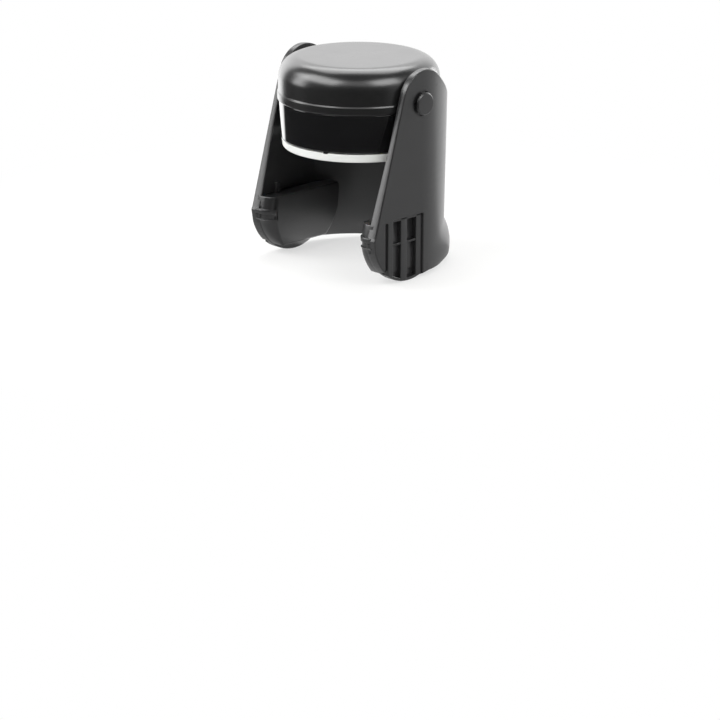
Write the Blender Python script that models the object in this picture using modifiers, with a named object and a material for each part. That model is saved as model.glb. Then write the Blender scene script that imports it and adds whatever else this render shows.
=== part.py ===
import math

import bmesh
import bpy

# Clamp-on champagne stopper: a sprung sealing cap and a yoke lever hinged on its sides.
# Metres, +Z up. The origin is the centre of the seal's underside.
# X runs along the hinge pins, the yoke's back wall is at +Y and its open side at -Y.
# Heights are above the origin and depths below it.

# Clearances
SEAT_GAP = 0.0003
CUT_OVERRUN = 0.002

# Facets
ROUND_STEPS = 64
SMALL_ROUND_STEPS = 24
SHOULDER_STEPS = 7
SMOOTH_ANGLE = math.radians(30)
MERGE_DISTANCE = 0.00002

# What the stopper passes over and catches under, by its standard sizes
BEAD_RADIUS = 0.0145
COLLAR_RADIUS = 0.01715

# White ring, built outwards from the bead
RING_CLEARANCE = 0.0007
RING_UPSTAND_WALL = 0.0020
RING_FLANGE = 0.0021
RING_OUTER_INSET = 0.0001
RING_DRAFT = 0.0003
RING_EDGE_ROUND = 0.0006
RING_LEAD_IN = 0.0007

# Skirt of the body, built outwards from the ring
SKIRT_WALL = 0.0018
SKIRT_DRAFT = 0.0005
SKIRT_DEPTH = 0.0069
BORE_STEP = 0.0001
SHELF_THICKNESS = 0.0012
SHELF_WIDTH = 0.0030
KEY_ANGLE = math.radians(-70)
KEY_WIDTH = 0.0012
KEY_DROP = 0.0005
KEY_THICKNESS = 0.0008

# Domed lid, built outwards from the skirt
LID_HEIGHT = 0.0134
LID_OVERHANG = 0.0002
LID_WALL = 0.0016
LID_SHOULDER_RADIUS = 0.0054
LID_LOW_HEIGHT = 0.00265
RIM_BAND_HEIGHT = 0.0018
RIM_BAND_PROUD = 0.0002
RIM_BAND_SLOPE = 0.0004
RIM_EDGE_ROUND = 0.0003
FLAT_DEPTH = 0.0002
STEM_GUIDE_WALL = 0.0015

# Seal, its carrier and the spring above them
SEAL_SIDE_CLEARANCE = 0.0011
SEAL_THICKNESS = 0.0019
SEAL_EDGE_ROUND = 0.0005
SEAL_STUD_RADIUS = 0.0020
SEAL_STUD_LENGTH = 0.0024
PRESS_TRAVEL = 0.0015
PLUNGER_FLANGE_THICKNESS = 0.0014
STEM_RADIUS = 0.0028
SPRING_WIRE_RADIUS = 0.0004
SPRING_INSET = 0.0050
SPRING_SIDE_CLEARANCE = 0.0016
SPRING_TURNS = 3.5
SPRING_POINTS_PER_TURN = 12

# Hinge pins
PIN_HEIGHT = 0.0048
PIN_RADIUS = 0.0017
PIN_CLEARANCE = 0.0001
PIN_HEAD_RADIUS = 0.0029
PIN_HEAD_THICKNESS = 0.0008
PIN_EDGE_ROUND = 0.0002
PIN_DEPTH_IN_BODY = 0.0020

# Yoke: back wall and arms
ARM_SIDE_CLEARANCE = 0.0003
ARM_THICKNESS = 0.0018
ARM_END_RADIUS = 0.0077
ARM_END_SETBACK = 0.0011
ARM_END_RISE = 0.0005
ARM_END_STEPS = 14
WALL_CLEARANCE = 0.0003
WALL_THICKNESS = 0.0012
WALL_DRAFT = 0.0018
WALL_FOOT_RISE = 0.0012
WALL_TOP_SLOPE = math.radians(38.7)
WALL_STEPS = 30

# Yoke: hooks, whose ledges set the depths of the pads below them
HOOK_LEDGE_DEPTH = 0.0233
HOOK_CATCH = 0.00165
HOOK_FRONT_INSET = 0.0002
HOOK_ROUND_INSET = 0.0001
HOOK_FOOT_RISE = 0.0027
HOOK_CORNER_RADIUS = 0.0028
HOOK_CORNER_STEPS = 5
POST_SETBACK = 0.0057
POST_WIDTH = 0.0014
POST_HEIGHT = 0.0027
POST_PROUD = 0.0016

# Yoke: pads at the arms' feet
PAD_THICKNESS = 0.0031
PAD_RADIUS = 0.0125
PAD_STEPS = 24
PAD_FRONT = 0.0165
PAD_FRONT_STEP = 0.0004
PAD_TOP_DROP = 0.0029
PAD_CORNER_DROP = 0.0008
PAD_FRONT_HEIGHT = 0.0023
PAD_CENTRE_DROP = 0.0004
PAD_OVERLAP = 0.0002

# Yoke: thumb lip round the back wall's foot
LIP_SIDE_INSET = 0.0009
LIP_HALF_HEIGHT = 0.0160
LIP_SHIFT_BACK = 0.0027
LIP_CREST_RISE = 0.0033
LIP_TOP_RISE = 0.0086
LIP_FOOT_ROUND = 0.0013
LIP_STEPS = 10

# Yoke: ribbed grips on the pads
GRIP_TOP_RISE = 0.0035
GRIP_RECESS = 0.0005
GRIP_POCKET_DEPTH = 0.0018
GRIP_POCKET_DROP = 0.0008
GRIP_FOOT_WALL = 0.0008
GRIP_REAR_BACK = 0.0007
GRIP_RIB_WIDTH = 0.0022
GRIP_POCKET_WIDTH = 0.0031
GRIP_POCKETS = 2
GRIP_BAR_RISE = 0.0001
GRIP_BAR_WIDTH = 0.0006
GRIP_GROOVE_FRONT = 0.01225
GRIP_GROOVE_WIDTH = 0.0010
GRIP_GROOVE_DROP = 0.0005

# Ring, skirt and lid, each following from the one inside it
ring_bore_radius = BEAD_RADIUS + RING_CLEARANCE
upstand_radius = ring_bore_radius + RING_UPSTAND_WALL
ring_seat_depth = SKIRT_DEPTH + SEAT_GAP
ring_low_depth = ring_seat_depth + RING_FLANGE
pocket_radius = upstand_radius + SEAT_GAP
body_low_radius = pocket_radius + SKIRT_WALL
body_top_radius = body_low_radius + SKIRT_DRAFT
body_bore_radius = ring_bore_radius + BORE_STEP
ring_top_radius = body_low_radius - RING_OUTER_INSET
lid_radius = body_top_radius + LID_OVERHANG
rim_radius = lid_radius + RIM_BAND_PROUD
rim_top_height = LID_LOW_HEIGHT + RIM_BAND_HEIGHT
lid_bore_radius = lid_radius - LID_WALL
lid_ceiling_height = LID_HEIGHT - LID_WALL
neck_radius = lid_bore_radius - SEAT_GAP
neck_top_height = LID_HEIGHT - LID_SHOULDER_RADIUS
flat_face_x = lid_radius - FLAT_DEPTH

# Seal and carrier, stacked upwards from the origin
seal_radius = body_bore_radius - SEAL_SIDE_CLEARANCE
shelf_low_height = SEAL_THICKNESS + PRESS_TRAVEL + SEAT_GAP
shelf_top_height = shelf_low_height + SHELF_THICKNESS
shelf_opening = body_bore_radius - SHELF_WIDTH
flange_low_height = shelf_top_height + SEAT_GAP
flange_top_height = flange_low_height + PLUNGER_FLANGE_THICKNESS
stem_top_height = lid_ceiling_height - PRESS_TRAVEL - SEAT_GAP
guide_bore_radius = STEM_RADIUS + SEAT_GAP
guide_radius = guide_bore_radius + STEM_GUIDE_WALL
guide_low_height = flange_top_height + PRESS_TRAVEL + SEAT_GAP

# Yoke, built outwards from the lid's flats and rim
pin_hole_radius = PIN_RADIUS + PIN_CLEARANCE
arm_inner_x = flat_face_x + ARM_SIDE_CLEARANCE
yoke_half_width = arm_inner_x + ARM_THICKNESS
arm_join_x = arm_inner_x + PAD_OVERLAP
wall_inner_radius = rim_radius + WALL_CLEARANCE
hook_inner_x = COLLAR_RADIUS - HOOK_CATCH
hook_round_radius = PAD_RADIUS - HOOK_ROUND_INSET
lip_radius = yoke_half_width - LIP_SIDE_INSET

# Depths of the pads, the wall's foot, the lip and the grips, all below the hooks' ledges
pad_top_depth = HOOK_LEDGE_DEPTH + PAD_TOP_DROP
pad_corner_depth = pad_top_depth + PAD_CORNER_DROP
pad_front_low_depth = pad_corner_depth + PAD_FRONT_HEIGHT
pad_centre = (PAD_RADIUS - PAD_FRONT, -pad_top_depth - PAD_CENTRE_DROP)
pad_foot_depth = PAD_RADIUS - pad_centre[1]
wall_foot_depth = pad_foot_depth - WALL_FOOT_RISE
lip_crest_depth = wall_foot_depth - LIP_CREST_RISE
lip_top_depth = lip_crest_depth - LIP_TOP_RISE
grip_top_depth = pad_top_depth - GRIP_TOP_RISE
grip_bar_depth = pad_front_low_depth - GRIP_BAR_RISE

# The blank that the yoke is cut from
arm_end_centre = (ARM_END_SETBACK, PIN_HEIGHT + ARM_END_RISE)
yoke_low_depth = pad_foot_depth + CUT_OVERRUN
yoke_high_height = arm_end_centre[1] + ARM_END_RADIUS + CUT_OVERRUN
yoke_reach_front = PAD_FRONT + CUT_OVERRUN
draft_slope = WALL_DRAFT / (yoke_high_height + yoke_low_depth)
inner_reach = wall_inner_radius + draft_slope * (yoke_high_height - LID_LOW_HEIGHT)
outer_reach = inner_reach + WALL_THICKNESS
yoke_reach_back = outer_reach + LIP_SHIFT_BACK + CUT_OVERRUN


def clear_scene():
    for old in list(bpy.data.objects):
        bpy.data.objects.remove(old, do_unlink=True)


def new_collection(name):
    made = bpy.data.collections.new(name)
    bpy.context.scene.collection.children.link(made)
    return made


def plastic(name, colour, roughness, transmission=0.0):
    material = bpy.data.materials.new(name)
    material.use_nodes = True
    shader = material.node_tree.nodes["Principled BSDF"]
    shader.inputs["Base Color"].default_value = (*colour, 1.0)
    shader.inputs["Roughness"].default_value = roughness
    shader.inputs["Metallic"].default_value = 0.0
    shader.inputs["Transmission Weight"].default_value = transmission
    return material


def spring_steel():
    material = bpy.data.materials.new("spring_steel")
    material.use_nodes = True
    shader = material.node_tree.nodes["Principled BSDF"]
    shader.inputs["Base Color"].default_value = (0.55, 0.55, 0.56, 1.0)
    shader.inputs["Roughness"].default_value = 0.3
    shader.inputs["Metallic"].default_value = 1.0
    return material


def mesh_object(name, mesh, group):
    made = bpy.data.objects.new(name, mesh)
    group.objects.link(made)
    return made


def arc(centre, radius, start, end, steps):
    """Points along a circle from angle start to angle end, both in degrees."""
    points = []
    for step in range(steps + 1):
        angle = math.radians(start + (end - start) * step / steps)
        points.append((centre[0] + radius * math.cos(angle), centre[1] + radius * math.sin(angle)))
    return points


def turned(name, profile, group, closed=False, steps=ROUND_STEPS):
    """A profile of (radius, height) points, top to bottom on its outer side, turned about Z."""
    count = len(profile)
    edges = [(i, i + 1) for i in range(count - 1)]
    if closed:
        edges.append((count - 1, 0))
    mesh = bpy.data.meshes.new(name)
    mesh.from_pydata([(radius, 0, height) for radius, height in profile], edges, [])
    made = mesh_object(name, mesh, group)
    screw = made.modifiers.new("turn", "SCREW")
    screw.axis = "Z"
    screw.steps = steps
    screw.render_steps = steps
    screw.use_merge_vertices = True
    screw.merge_threshold = MERGE_DISTANCE
    screw.use_smooth_shade = True
    return made


def plate(name, outline, low, high, group, across="Z", foot_share=1.0):
    """A flat outline from low to high along Z, or, for across X, an outline in Y and Z along X.

    The foot share draws the low end in along the outline's second axis, as a mould's draft does.
    """
    curve = bpy.data.curves.new(name, "CURVE")
    curve.dimensions = "2D"
    curve.fill_mode = "BOTH"
    curve.extrude = (high - low) / 2
    spline = curve.splines.new("POLY")
    spline.points.add(len(outline) - 1)
    for point, place in zip(spline.points, outline):
        point.co = (place[0], place[1], 0, 1)
    spline.use_cyclic_u = True
    drawn = bpy.data.objects.new(name, curve)
    group.objects.link(drawn)
    middle = (low + high) / 2
    if across == "X":
        drawn.rotation_euler = (math.pi / 2, 0, math.pi / 2)
        drawn.location = (middle, 0, 0)
    else:
        drawn.location = (0, 0, middle)
    bpy.context.view_layer.update()
    graph = bpy.context.evaluated_depsgraph_get()
    mesh = bpy.data.meshes.new_from_object(drawn.evaluated_get(graph))
    shape = bmesh.new()
    shape.from_mesh(mesh)
    bmesh.ops.remove_doubles(shape, verts=shape.verts, dist=MERGE_DISTANCE)
    foot = [corner for corner in shape.verts if corner.co.z < 0]
    bmesh.ops.scale(shape, vec=(1, foot_share, 1), verts=foot)
    bmesh.ops.recalc_face_normals(shape, faces=shape.faces)
    shape.to_mesh(mesh)
    shape.free()
    made = mesh_object(name, mesh, group)
    made.matrix_world = drawn.matrix_world.copy()
    bpy.data.objects.remove(drawn, do_unlink=True)
    made.name = name
    return made


def box(name, low, high, group):
    """A box between two opposite corners, with its size in its mesh."""
    shape = bmesh.new()
    bmesh.ops.create_cube(shape, size=1)
    sizes = [b - a for a, b in zip(low, high)]
    middle = [(a + b) / 2 for a, b in zip(low, high)]
    bmesh.ops.scale(shape, vec=sizes, verts=shape.verts)
    bmesh.ops.translate(shape, vec=middle, verts=shape.verts)
    mesh = bpy.data.meshes.new(name)
    shape.to_mesh(mesh)
    shape.free()
    return mesh_object(name, mesh, group)


def cross_cylinder(name, radius, low_x, high_x, height, group):
    """A cylinder along X between two places, at a height on the Z axis."""
    profile = [(0, high_x), (radius, high_x), (radius, low_x), (0, low_x)]
    made = turned(name, profile, group, steps=SMALL_ROUND_STEPS)
    made.rotation_euler = (0, math.pi / 2, 0)
    made.location = (0, 0, height)
    return made


def combine(target, other, operation):
    modifier = target.modifiers.new(other.name, "BOOLEAN")
    modifier.operation = operation
    modifier.solver = "EXACT"
    modifier.object = other


def finish(made, material):
    made.data.materials.append(material)
    if made.data.polygons:
        made.data.shade_smooth()
        made.data.set_sharp_from_angle(angle=SMOOTH_ANGLE)


def make_side_flats(group):
    """The cutters that leave flats on the lid's sides, where the arms lie."""
    outside = rim_radius + CUT_OVERRUN
    flats = []
    for side, name in ((1, "flat_cut_right"), (-1, "flat_cut_left")):
        near, far = sorted((side * flat_face_x, side * outside))
        low = (near, -outside, LID_LOW_HEIGHT - CUT_OVERRUN)
        high = (far, outside, LID_HEIGHT + CUT_OVERRUN)
        flats.append(box(name, low, high, group))
    return flats


def make_pin_holes(group):
    """The cutters for the blind holes that the pins enter."""
    tip = neck_radius - PIN_DEPTH_IN_BODY - SEAT_GAP
    outside = rim_radius + CUT_OVERRUN
    right = cross_cylinder("pin_hole_right", pin_hole_radius, tip, outside, PIN_HEIGHT, group)
    left = cross_cylinder("pin_hole_left", pin_hole_radius, -outside, -tip, PIN_HEIGHT, group)
    return [right, left]


def make_lid(group, material, cuts):
    shoulder_centre = (lid_radius - LID_SHOULDER_RADIUS, LID_HEIGHT - LID_SHOULDER_RADIUS)
    profile = [(0, LID_HEIGHT)]
    profile += arc(shoulder_centre, LID_SHOULDER_RADIUS, 90, 0, SHOULDER_STEPS)
    profile += [
        (lid_radius, rim_top_height + RIM_BAND_SLOPE),
        (rim_radius, rim_top_height),
        (rim_radius, LID_LOW_HEIGHT + RIM_EDGE_ROUND),
        (rim_radius - RIM_EDGE_ROUND, LID_LOW_HEIGHT),
        (lid_bore_radius, LID_LOW_HEIGHT),
    ]
    profile += arc(shoulder_centre, LID_SHOULDER_RADIUS - LID_WALL, 0, 90, SHOULDER_STEPS)
    profile += [
        (guide_radius, lid_ceiling_height),
        (guide_radius, guide_low_height),
        (guide_bore_radius, guide_low_height),
        (guide_bore_radius, lid_ceiling_height),
        (0, lid_ceiling_height),
    ]
    lid = turned("dome_lid", profile, group)
    for cut in cuts:
        combine(lid, cut, "DIFFERENCE")
    finish(lid, material)
    return lid


def key_block(name, margin, low, high, group):
    """The locating key at its angle on the skirt, grown by a margin on its sides."""
    inner = body_low_radius - KEY_THICKNESS - margin
    outer = body_low_radius - RIM_EDGE_ROUND
    if margin:
        outer = body_low_radius + CUT_OVERRUN
    half = KEY_WIDTH / 2 + margin
    block = box(name, (inner, -half, low), (outer, half, high), group)
    block.rotation_euler = (0, 0, KEY_ANGLE)
    return block


def make_body(group, cutters, material, cuts):
    neck_low = LID_LOW_HEIGHT - SEAT_GAP
    profile = [
        (neck_radius, neck_top_height),
        (neck_radius, neck_low),
        (body_top_radius, neck_low),
        (body_low_radius, -SKIRT_DEPTH),
        (pocket_radius, -SKIRT_DEPTH),
        (pocket_radius, SEAT_GAP),
        (body_bore_radius, SEAT_GAP),
        (body_bore_radius, shelf_low_height),
        (shelf_opening, shelf_low_height),
        (shelf_opening, shelf_top_height),
        (body_bore_radius, shelf_top_height),
        (body_bore_radius, neck_top_height),
    ]
    body = turned("cap_body", profile, group, closed=True)
    for cut in cuts:
        combine(body, cut, "DIFFERENCE")
    key = key_block("locating_key", 0, -SKIRT_DEPTH - KEY_DROP, -SKIRT_DEPTH + KEY_DROP, cutters)
    combine(body, key, "UNION")
    finish(body, material)
    return body


def make_ring(group, cutters, material):
    ring_low_radius = ring_top_radius - RING_DRAFT
    edge_centre = (ring_low_radius - RING_EDGE_ROUND, RING_EDGE_ROUND - ring_low_depth)
    profile = [(upstand_radius, 0), (upstand_radius, -ring_seat_depth), (ring_top_radius, -ring_seat_depth)]
    profile += arc(edge_centre, RING_EDGE_ROUND, 0, -90, 4)
    profile += [
        (ring_bore_radius + RING_LEAD_IN, -ring_low_depth),
        (ring_bore_radius, RING_LEAD_IN - ring_low_depth),
        (ring_bore_radius, 0),
    ]
    ring = turned("guide_ring", profile, group, closed=True)
    notch_low = -SKIRT_DEPTH - KEY_DROP - SEAT_GAP
    notch = key_block("key_notch", SEAT_GAP, notch_low, -SKIRT_DEPTH + KEY_DROP, cutters)
    combine(ring, notch, "DIFFERENCE")
    finish(ring, material)
    return ring


def make_seal(group, material):
    profile = [
        (0, SEAL_THICKNESS + SEAL_STUD_LENGTH),
        (SEAL_STUD_RADIUS, SEAL_THICKNESS + SEAL_STUD_LENGTH),
        (SEAL_STUD_RADIUS, SEAL_THICKNESS),
        (seal_radius - SEAL_EDGE_ROUND, SEAL_THICKNESS),
        (seal_radius, SEAL_THICKNESS - SEAL_EDGE_ROUND),
        (seal_radius, SEAL_EDGE_ROUND),
        (seal_radius - SEAL_EDGE_ROUND, 0),
        (0, 0),
    ]
    seal = turned("seal_disc", profile, group, steps=ROUND_STEPS // 2)
    finish(seal, material)
    return seal


def make_plunger(group, material):
    flange_radius = body_bore_radius - SEAT_GAP
    boss_radius = shelf_opening - SEAT_GAP
    boss_low = SEAL_THICKNESS + SEAT_GAP
    socket_radius = SEAL_STUD_RADIUS + SEAT_GAP
    socket_top = boss_low + SEAL_STUD_LENGTH
    profile = [
        (0, stem_top_height),
        (STEM_RADIUS, stem_top_height),
        (STEM_RADIUS, flange_top_height),
        (flange_radius, flange_top_height),
        (flange_radius, flange_low_height),
        (boss_radius, flange_low_height),
        (boss_radius, boss_low),
        (socket_radius, boss_low),
        (socket_radius, socket_top),
        (0, socket_top),
    ]
    plunger = turned("seal_plunger", profile, group, steps=ROUND_STEPS // 2)
    finish(plunger, material)
    return plunger


def make_spring(group, material):
    """A conical coil, so that its turns nest when the seal is pressed up."""
    low = flange_top_height + SEAT_GAP + SPRING_WIRE_RADIUS
    high = lid_ceiling_height - SEAT_GAP - SPRING_WIRE_RADIUS
    low_radius = body_bore_radius - SPRING_INSET
    high_radius = guide_radius + SPRING_SIDE_CLEARANCE
    count = int(SPRING_TURNS * SPRING_POINTS_PER_TURN)
    curve = bpy.data.curves.new("seal_spring", "CURVE")
    curve.dimensions = "3D"
    curve.bevel_depth = SPRING_WIRE_RADIUS
    curve.bevel_resolution = 2
    curve.use_fill_caps = True
    spline = curve.splines.new("POLY")
    spline.points.add(count)
    for i, point in enumerate(spline.points):
        share = i / count
        angle = 2 * math.pi * SPRING_TURNS * share
        radius = low_radius + (high_radius - low_radius) * share
        height = low + (high - low) * share
        point.co = (radius * math.cos(angle), radius * math.sin(angle), height, 1)
    spring = bpy.data.objects.new("seal_spring", curve)
    group.objects.link(spring)
    curve.materials.append(material)
    return spring


def make_pin(name, side, group, material):
    head_low = yoke_half_width + SEAT_GAP
    head_high = head_low + PIN_HEAD_THICKNESS
    tip = neck_radius - PIN_DEPTH_IN_BODY
    profile = [
        (0, head_high),
        (PIN_HEAD_RADIUS - PIN_EDGE_ROUND, head_high),
        (PIN_HEAD_RADIUS, head_high - PIN_EDGE_ROUND),
        (PIN_HEAD_RADIUS, head_low),
        (PIN_RADIUS, head_low),
        (PIN_RADIUS, tip + PIN_EDGE_ROUND),
        (PIN_RADIUS - PIN_EDGE_ROUND, tip),
        (0, tip),
    ]
    pin = turned(name, profile, group, steps=SMALL_ROUND_STEPS)
    pin.rotation_euler = (0, side * math.pi / 2, 0)
    pin.location = (0, 0, PIN_HEIGHT)
    finish(pin, material)
    return pin


def tangent_angle(centre, radius, point):
    """The angle, in degrees, at which a line from the point touches the circle's front side."""
    across = point[0] - centre[0]
    up = point[1] - centre[1]
    towards = math.atan2(up, across)
    opening = math.acos(radius / math.hypot(across, up))
    return math.degrees(towards - opening) % 360


def wall_plan(side_radius, back_reach, arm_x, front_reach):
    """The U of the yoke seen from above: two straight arms and a half-round wall behind them."""
    meet = math.degrees(math.acos(arm_x / side_radius))
    stretch = back_reach / side_radius
    wall = arc((0, 0), side_radius, meet, 180 - meet, WALL_STEPS)
    points = [(arm_x, -front_reach)]
    points += [(x, y * stretch) for x, y in wall]
    points.append((-arm_x, -front_reach))
    return points


def pad_arc(radius, start_depth, end_depth):
    """The pad's round foot, from the front at one depth round to the back at another.

    Its points lie at the same angles whatever the ends, so that outlines which share it meet exactly.
    """
    start = 180 + math.degrees(math.asin((start_depth + pad_centre[1]) / radius))
    end = 360 - math.degrees(math.asin((end_depth + pad_centre[1]) / radius))
    pitch = 180 / PAD_STEPS
    between = [180 + pitch * step for step in range(PAD_STEPS) if start < 180 + pitch * step < end]
    points = []
    for degrees in [start, *between, end]:
        angle = math.radians(degrees)
        points.append((pad_centre[0] + radius * math.cos(angle), pad_centre[1] + radius * math.sin(angle)))
    return points


def side_outline():
    """The yoke seen along X, as (Y, Z): sloping wall top, round arm end, slanted front, feet."""
    front_step = (PAD_FRONT_STEP - PAD_FRONT, -pad_top_depth)
    leave = 90 - math.degrees(WALL_TOP_SLOPE)
    touch = tangent_angle(arm_end_centre, ARM_END_RADIUS, front_step)
    top_arc = arc(arm_end_centre, ARM_END_RADIUS, leave, touch, ARM_END_STEPS)
    back_run = yoke_reach_back - top_arc[0][0]
    back_height = top_arc[0][1] - back_run * math.tan(WALL_TOP_SLOPE)
    points = [(yoke_reach_back, -wall_foot_depth), (yoke_reach_back, back_height)]
    points += top_arc
    points += [front_step, (-PAD_FRONT, -pad_corner_depth), (-PAD_FRONT, -pad_front_low_depth)]
    points += pad_arc(PAD_RADIUS, pad_front_low_depth, wall_foot_depth)
    return points


def make_hook(cutters):
    """The block inside an arm: its flat top is the ledge that catches, its front corner is round."""
    front = HOOK_FRONT_INSET - PAD_FRONT
    rear = pad_centre[0] + hook_round_radius
    corner_centre = (hook_inner_x + HOOK_CORNER_RADIUS, front + HOOK_CORNER_RADIUS)
    plan = [(arm_join_x, rear + CUT_OVERRUN), (hook_inner_x, rear + CUT_OVERRUN)]
    plan += arc(corner_centre, HOOK_CORNER_RADIUS, 180, 270, HOOK_CORNER_STEPS)
    plan.append((arm_join_x, front))
    hook = plate("hook_block", plan, HOOK_FOOT_RISE - pad_foot_depth, -HOOK_LEDGE_DEPTH, cutters)
    top = CUT_OVERRUN - HOOK_LEDGE_DEPTH
    outline = [(rear, top), (-yoke_reach_front, top), (-yoke_reach_front, -pad_front_low_depth)]
    outline += pad_arc(hook_round_radius, pad_front_low_depth, -pad_centre[1])
    side = plate("hook_side", outline, 0, yoke_half_width, cutters, across="X")
    combine(hook, side, "INTERSECT")
    return hook


def make_pad(cutters):
    """The thick round-footed plate behind the grip. The yoke's side outline trims its front and foot."""
    outline = [(-yoke_reach_front, -pad_corner_depth), (-yoke_reach_front, -yoke_low_depth)]
    foot_angle = -math.degrees(math.asin((wall_foot_depth - PAD_OVERLAP + pad_centre[1]) / PAD_RADIUS))
    top_angle = -math.degrees(math.asin((pad_corner_depth + pad_centre[1]) / PAD_RADIUS))
    rear_arc = arc(pad_centre, PAD_RADIUS, foot_angle, top_angle, PAD_STEPS // 2)
    outline.append((rear_arc[0][0], -yoke_low_depth))
    outline += rear_arc
    inner_x = yoke_half_width - PAD_THICKNESS
    return plate("pad_plate", outline, inner_x, arm_join_x, cutters, across="X")


def make_post(cutters):
    """The small upright post that stands on the hook against the arm's inner face."""
    front = POST_SETBACK - PAD_FRONT
    low = (arm_inner_x - POST_PROUD, front, -HOOK_LEDGE_DEPTH - PAD_OVERLAP)
    high = (arm_join_x, front + POST_WIDTH, -HOOK_LEDGE_DEPTH + POST_HEIGHT)
    return box("hook_post", low, high, cutters)


def make_grip_cuts(cutters):
    """The sunk field, the pockets between its ribs with their cross bar, and the front groove."""
    outside = yoke_half_width + CUT_OVERRUN
    field_x = yoke_half_width - GRIP_RECESS
    pocket_x = yoke_half_width - GRIP_POCKET_DEPTH
    bottom = -yoke_low_depth
    pocket_top = -grip_top_depth - GRIP_POCKET_DROP
    bar_top = GRIP_BAR_WIDTH / 2 - grip_bar_depth
    bar_low = bar_top - GRIP_BAR_WIDTH
    pitch = GRIP_RIB_WIDTH + GRIP_POCKET_WIDTH
    front_y = GRIP_REAR_BACK - pitch * GRIP_POCKETS
    field_high = (outside, GRIP_REAR_BACK, -grip_top_depth)
    cuts = [box("grip_field", (field_x, front_y, bottom), field_high, cutters)]
    foot_circle = arc(pad_centre, PAD_RADIUS - GRIP_FOOT_WALL, 0, 360, PAD_STEPS * 2)[1:]
    foot_round = plate("grip_foot", foot_circle, 0, outside + CUT_OVERRUN, cutters, across="X")
    for number in range(GRIP_POCKETS):
        high_y = GRIP_REAR_BACK - GRIP_RIB_WIDTH - pitch * number
        low_y = high_y - GRIP_POCKET_WIDTH
        name = f"grip_pocket_{number + 1}"
        upper = box(f"{name}_upper", (pocket_x, low_y, bar_top), (outside, high_y, pocket_top), cutters)
        lower = box(f"{name}_lower", (pocket_x, low_y, bottom), (outside, high_y, bar_low), cutters)
        combine(lower, foot_round, "INTERSECT")
        cuts += [upper, lower]
    half = GRIP_GROOVE_WIDTH / 2
    groove_low = (field_x, -GRIP_GROOVE_FRONT - half, bottom)
    groove_high = (outside, -GRIP_GROOVE_FRONT + half, -grip_top_depth - GRIP_GROOVE_DROP)
    cuts.append(box("grip_groove", groove_low, groove_high, cutters))
    return cuts


def lip_radius_at(depth):
    return lip_radius * math.sqrt(1 - ((depth - lip_crest_depth) / LIP_HALF_HEIGHT) ** 2)


def make_lip(cutters):
    """The swelling round the wall's foot: a flattened ball set back from the axis, cut level and rounded."""
    lean_depth = wall_foot_depth - LIP_FOOT_ROUND
    flattening = lip_radius / LIP_HALF_HEIGHT
    rise = (lean_depth - lip_crest_depth) / LIP_HALF_HEIGHT
    lean = math.degrees(math.atan(flattening * rise / math.sqrt(1 - rise ** 2)))
    low_depth = lean_depth + LIP_FOOT_ROUND * math.sin(math.radians(lean))
    round_centre = (lip_radius_at(low_depth) - LIP_FOOT_ROUND * math.cos(math.radians(lean)), -lean_depth)
    profile = [(0, -lip_top_depth)]
    for step in range(LIP_STEPS + 1):
        depth = lip_top_depth + (low_depth - lip_top_depth) * step / LIP_STEPS
        profile.append((lip_radius_at(depth), -depth))
    profile += arc(round_centre, LIP_FOOT_ROUND, -lean, -90, 5)[1:]
    profile.append((0, -wall_foot_depth))
    lip = turned("thumb_lip", profile, cutters)
    lip.location = (0, LIP_SHIFT_BACK, 0)
    return lip


def make_yoke(group, cutters, material):
    outer_plan = wall_plan(yoke_half_width, outer_reach, yoke_half_width, yoke_reach_front)
    inner_front = yoke_reach_front + CUT_OVERRUN * 2
    inner_plan = wall_plan(wall_inner_radius, inner_reach, arm_inner_x, inner_front)
    outer_share = 1 - WALL_DRAFT / outer_reach
    inner_share = 1 - WALL_DRAFT / inner_reach
    yoke = plate("yoke_lever", outer_plan, -yoke_low_depth, yoke_high_height, group, foot_share=outer_share)
    combine(yoke, make_lip(cutters), "UNION")
    inside_low = -yoke_low_depth - CUT_OVERRUN
    inside_high = yoke_high_height + CUT_OVERRUN
    inside = plate("yoke_inside", inner_plan, inside_low, inside_high, cutters, foot_share=inner_share)
    combine(yoke, inside, "DIFFERENCE")
    for block in (make_hook(cutters), make_pad(cutters), make_post(cutters)):
        combine(yoke, block, "UNION")
    side = plate("yoke_side", side_outline(), -yoke_reach_back, yoke_reach_back, cutters, across="X")
    combine(yoke, side, "INTERSECT")
    for cut in make_grip_cuts(cutters):
        combine(yoke, cut, "DIFFERENCE")
    hole_low = arm_inner_x - CUT_OVERRUN
    hole_high = yoke_half_width + CUT_OVERRUN
    arm_hole = cross_cylinder("arm_hole", pin_hole_radius, hole_low, hole_high, PIN_HEIGHT, cutters)
    combine(yoke, arm_hole, "DIFFERENCE")
    mirror = yoke.modifiers.new("mirror", "MIRROR")
    mirror.use_axis = (True, False, False)
    mirror.use_bisect_axis = (True, False, False)
    mirror.merge_threshold = MERGE_DISTANCE
    finish(yoke, material)
    return yoke


def hang_on_axis(name, place, pieces, group):
    """An empty on a joint's axis that carries the pieces moving about or along it."""
    axis = bpy.data.objects.new(name, None)
    axis.location = place
    group.objects.link(axis)
    for piece in pieces:
        piece.parent = axis
        piece.location = [at - offset for at, offset in zip(piece.location, place)]
    return axis


clear_scene()
parts = new_collection("champagne_stopper")
cutters = new_collection("cutters")

satin_black = plastic("satin_black_abs", (0.018, 0.018, 0.019), 0.38)
gloss_black = plastic("gloss_black_abs", (0.010, 0.010, 0.011), 0.08)
yoke_black = plastic("satin_black_polyamide", (0.022, 0.022, 0.023), 0.42)
milky_white = plastic("milky_polyethylene", (0.86, 0.87, 0.86), 0.35, transmission=0.15)
white_silicone = plastic("white_silicone", (0.80, 0.80, 0.79), 0.55)
steel = spring_steel()

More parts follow.
